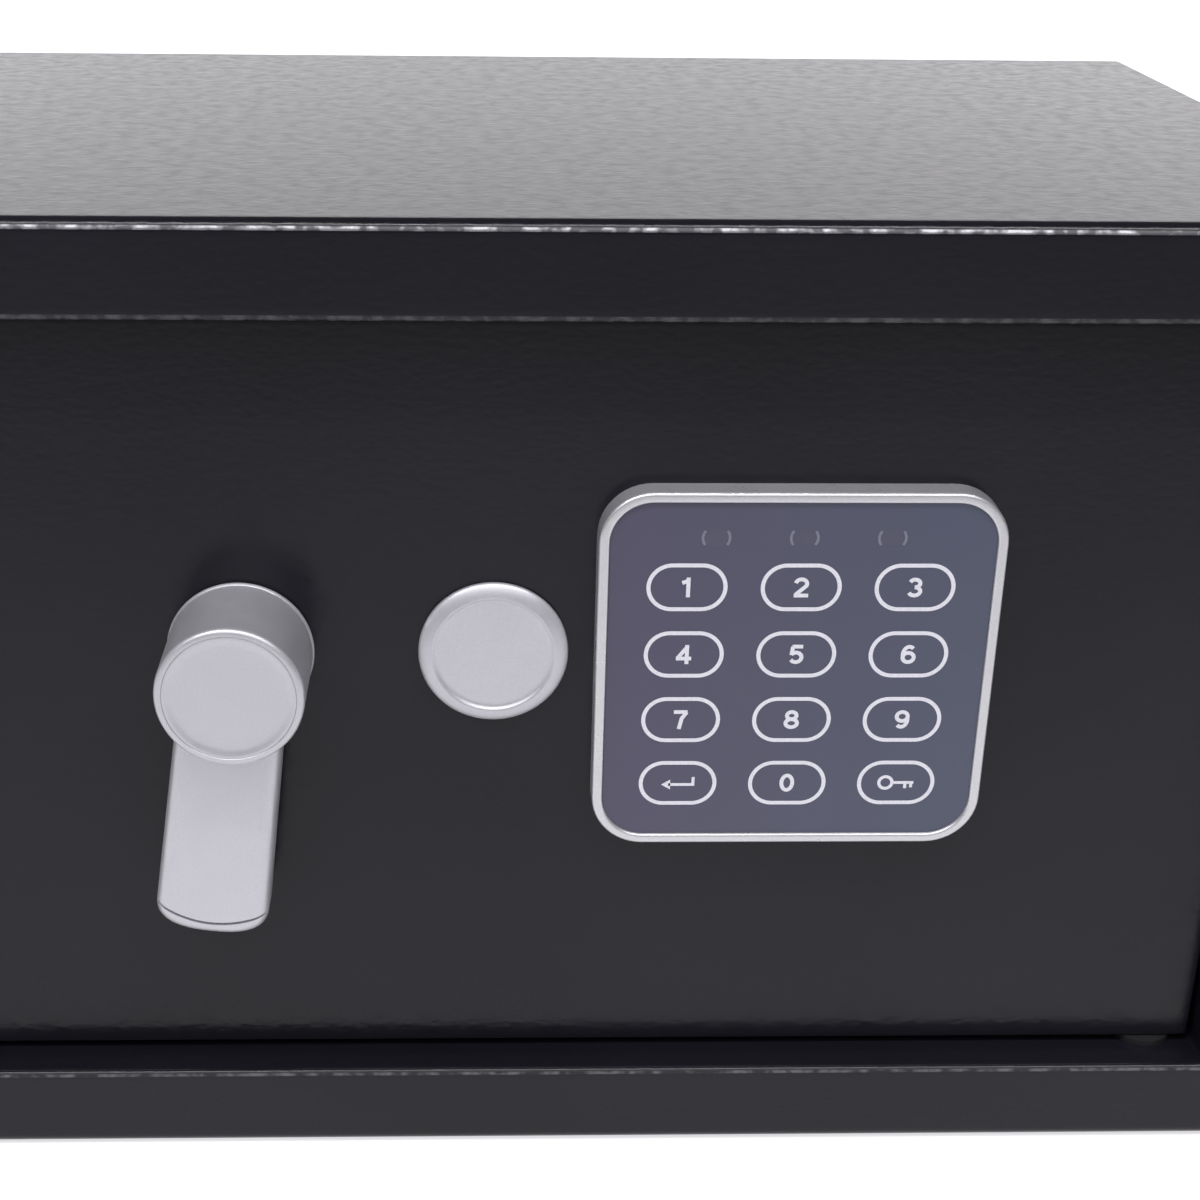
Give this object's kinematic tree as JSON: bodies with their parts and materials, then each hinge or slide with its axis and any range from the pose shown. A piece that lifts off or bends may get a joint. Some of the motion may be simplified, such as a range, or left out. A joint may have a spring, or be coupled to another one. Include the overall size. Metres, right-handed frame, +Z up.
{
  "type": "in-room safe",
  "caption": "Steel in-room safe with a recessed swing door, keypad, emergency lock under a cap and a turning lever that throws round locking bolts.",
  "frame": {"origin": "centre of the cabinet's underside, midway between the two base fixing holes", "axes": "+X to the right seen from the front, along the width; +Y towards the back; +Z up"},
  "size_m": [0.31, 0.2135, 0.2],
  "materials": {
    "black_coat": "black powder coat with a fine leather texture",
    "mat_felt": "dark felt",
    "zinc_steel": "bright zinc plate",
    "bright_steel": "ground and nickel plated",
    "silver_paint": "satin silver paint on die-cast metal",
    "bezel_silver": "satin silver plated plastic",
    "keypad_grey": "smooth printed membrane",
    "circuit_board": "solder mask",
    "brass": "turned",
    "coil_tape": "coil tape",
    "black_plastic": "fine spark texture",
    "led_green": "clear tinted",
    "ribbon_grey": "flat cable",
    "wire_red": "insulated lead",
    "cell_jacket": "plain cell jacket",
    "reset_red": "moulded"
  },
  "bodies": {
    "cabinet": {"body_shell": "black_coat", "back_panel": "black_coat", "front_frame": "black_coat", "door_stops": "black_coat", "floor_mat": "mat_felt", "hinge_washers": "black_plastic"},
    "door": {"door_plate": "black_coat", "hinge_blocks": "zinc_steel", "hinge_pins": "zinc_steel", "inner_cover": "black_coat", "cover_posts": "zinc_steel", "cover_screws": "zinc_steel", "keypad_bezel": "bezel_silver", "keypad_panel": "keypad_grey", "keypad_board": "circuit_board", "key_domes": "zinc_steel", "status_leds": "led_green", "keypad_screws": "zinc_steel", "ribbon_cable": "ribbon_grey", "control_board": "circuit_board", "board_standoffs": "brass", "wiring": "wire_red", "spindle_bush": "brass", "guide_bracket": "zinc_steel", "guide_studs": "zinc_steel", "solenoid_frame": "zinc_steel", "solenoid_coil": "coil_tape", "plunger_spring": "zinc_steel", "lock_cylinder": "zinc_steel", "lock_nut": "zinc_steel", "battery_box": "black_plastic", "battery_contacts": "zinc_steel", "batteries": "cell_jacket", "reset_switch": "black_plastic"},
    "lever": {"lever": "silver_paint", "lever_disc": "silver_paint", "lever_screw": "zinc_steel", "spindle": "zinc_steel", "cam": "zinc_steel"},
    "bolts": {"bolt_carrier": "zinc_steel", "locking_bolts": "bright_steel", "bolt_screws": "zinc_steel"},
    "plunger": {"solenoid_plunger": "zinc_steel"},
    "lock_plug": {"lock_plug": "brass", "lock_tail": "zinc_steel"},
    "key_cover": {"key_cover": "silver_paint"},
    "battery_cover": {"battery_cover": "black_plastic"},
    "reset_button": {"reset_button": "reset_red"},
    "key_1": {"key_1": "keypad_grey"},
    "key_2": {"key_2": "keypad_grey"},
    "key_3": {"key_3": "keypad_grey"},
    "key_4": {"key_4": "keypad_grey"},
    "key_5": {"key_5": "keypad_grey"},
    "key_6": {"key_6": "keypad_grey"},
    "key_7": {"key_7": "keypad_grey"},
    "key_8": {"key_8": "keypad_grey"},
    "key_9": {"key_9": "keypad_grey"},
    "key_enter": {"key_enter": "keypad_grey"},
    "key_0": {"key_0": "keypad_grey"},
    "key_program": {"key_program": "keypad_grey"}
  },
  "joints": [
    {"name": "door_swing", "type": "hinge", "parent": "cabinet", "child": "door", "pos_m": [0.126, -0.087, 0.1], "axis": [0, 0, 1], "range_deg": [0, 100]},
    {"name": "lever_turn", "type": "hinge", "parent": "door", "child": "lever", "pos_m": [-0.0668, -0.091, 0.1132], "axis": [0, 1, 0], "range_deg": [0, 80]},
    {"name": "bolt_throw", "type": "slide", "parent": "door", "child": "bolts", "axis": [-1, 0, 0], "range_m": [0, 0.016]},
    {"name": "plunger_slide", "type": "slide", "parent": "door", "child": "plunger", "axis": [0, 0, 1], "range_m": [0, 0.005], "deforming": ["plunger_spring"]},
    {"name": "lock_turn", "type": "hinge", "parent": "door", "child": "lock_plug", "pos_m": [-0.0172, -0.091, 0.1129], "axis": [0, 1, 0], "range_deg": [0, 90]},
    {"name": "key_cover_pull", "type": "slide", "parent": "door", "child": "key_cover", "axis": [0, -1, 0], "range_m": [0, 0.02]},
    {"name": "battery_cover_pull", "type": "slide", "parent": "door", "child": "battery_cover", "axis": [0, 1, 0], "range_m": [0, 0.025]},
    {"name": "reset_press", "type": "slide", "parent": "door", "child": "reset_button", "axis": [0, -1, 0], "range_m": [0, 0.0015], "stiffness_N_per_m": 1500, "springref_m": -0.0005},
    {"name": "key_1_press", "type": "slide", "parent": "door", "child": "key_1", "axis": [0, 1, 0], "range_m": [0, 0.0006], "stiffness_N_per_m": 2500, "springref_m": -0.0004},
    {"name": "key_2_press", "type": "slide", "parent": "door", "child": "key_2", "axis": [0, 1, 0], "range_m": [0, 0.0006], "stiffness_N_per_m": 2500, "springref_m": -0.0004},
    {"name": "key_3_press", "type": "slide", "parent": "door", "child": "key_3", "axis": [0, 1, 0], "range_m": [0, 0.0006], "stiffness_N_per_m": 2500, "springref_m": -0.0004},
    {"name": "key_4_press", "type": "slide", "parent": "door", "child": "key_4", "axis": [0, 1, 0], "range_m": [0, 0.0006], "stiffness_N_per_m": 2500, "springref_m": -0.0004},
    {"name": "key_5_press", "type": "slide", "parent": "door", "child": "key_5", "axis": [0, 1, 0], "range_m": [0, 0.0006], "stiffness_N_per_m": 2500, "springref_m": -0.0004},
    {"name": "key_6_press", "type": "slide", "parent": "door", "child": "key_6", "axis": [0, 1, 0], "range_m": [0, 0.0006], "stiffness_N_per_m": 2500, "springref_m": -0.0004},
    {"name": "key_7_press", "type": "slide", "parent": "door", "child": "key_7", "axis": [0, 1, 0], "range_m": [0, 0.0006], "stiffness_N_per_m": 2500, "springref_m": -0.0004},
    {"name": "key_8_press", "type": "slide", "parent": "door", "child": "key_8", "axis": [0, 1, 0], "range_m": [0, 0.0006], "stiffness_N_per_m": 2500, "springref_m": -0.0004},
    {"name": "key_9_press", "type": "slide", "parent": "door", "child": "key_9", "axis": [0, 1, 0], "range_m": [0, 0.0006], "stiffness_N_per_m": 2500, "springref_m": -0.0004},
    {"name": "key_enter_press", "type": "slide", "parent": "door", "child": "key_enter", "axis": [0, 1, 0], "range_m": [0, 0.0006], "stiffness_N_per_m": 2500, "springref_m": -0.0004},
    {"name": "key_0_press", "type": "slide", "parent": "door", "child": "key_0", "axis": [0, 1, 0], "range_m": [0, 0.0006], "stiffness_N_per_m": 2500, "springref_m": -0.0004},
    {"name": "key_program_press", "type": "slide", "parent": "door", "child": "key_program", "axis": [0, 1, 0], "range_m": [0, 0.0006], "stiffness_N_per_m": 2500, "springref_m": -0.0004}
  ],
  "couplings": [
    {"joint": "bolt_throw", "follows": "lever_turn", "m_per_rad": 0.011459}
  ]
}
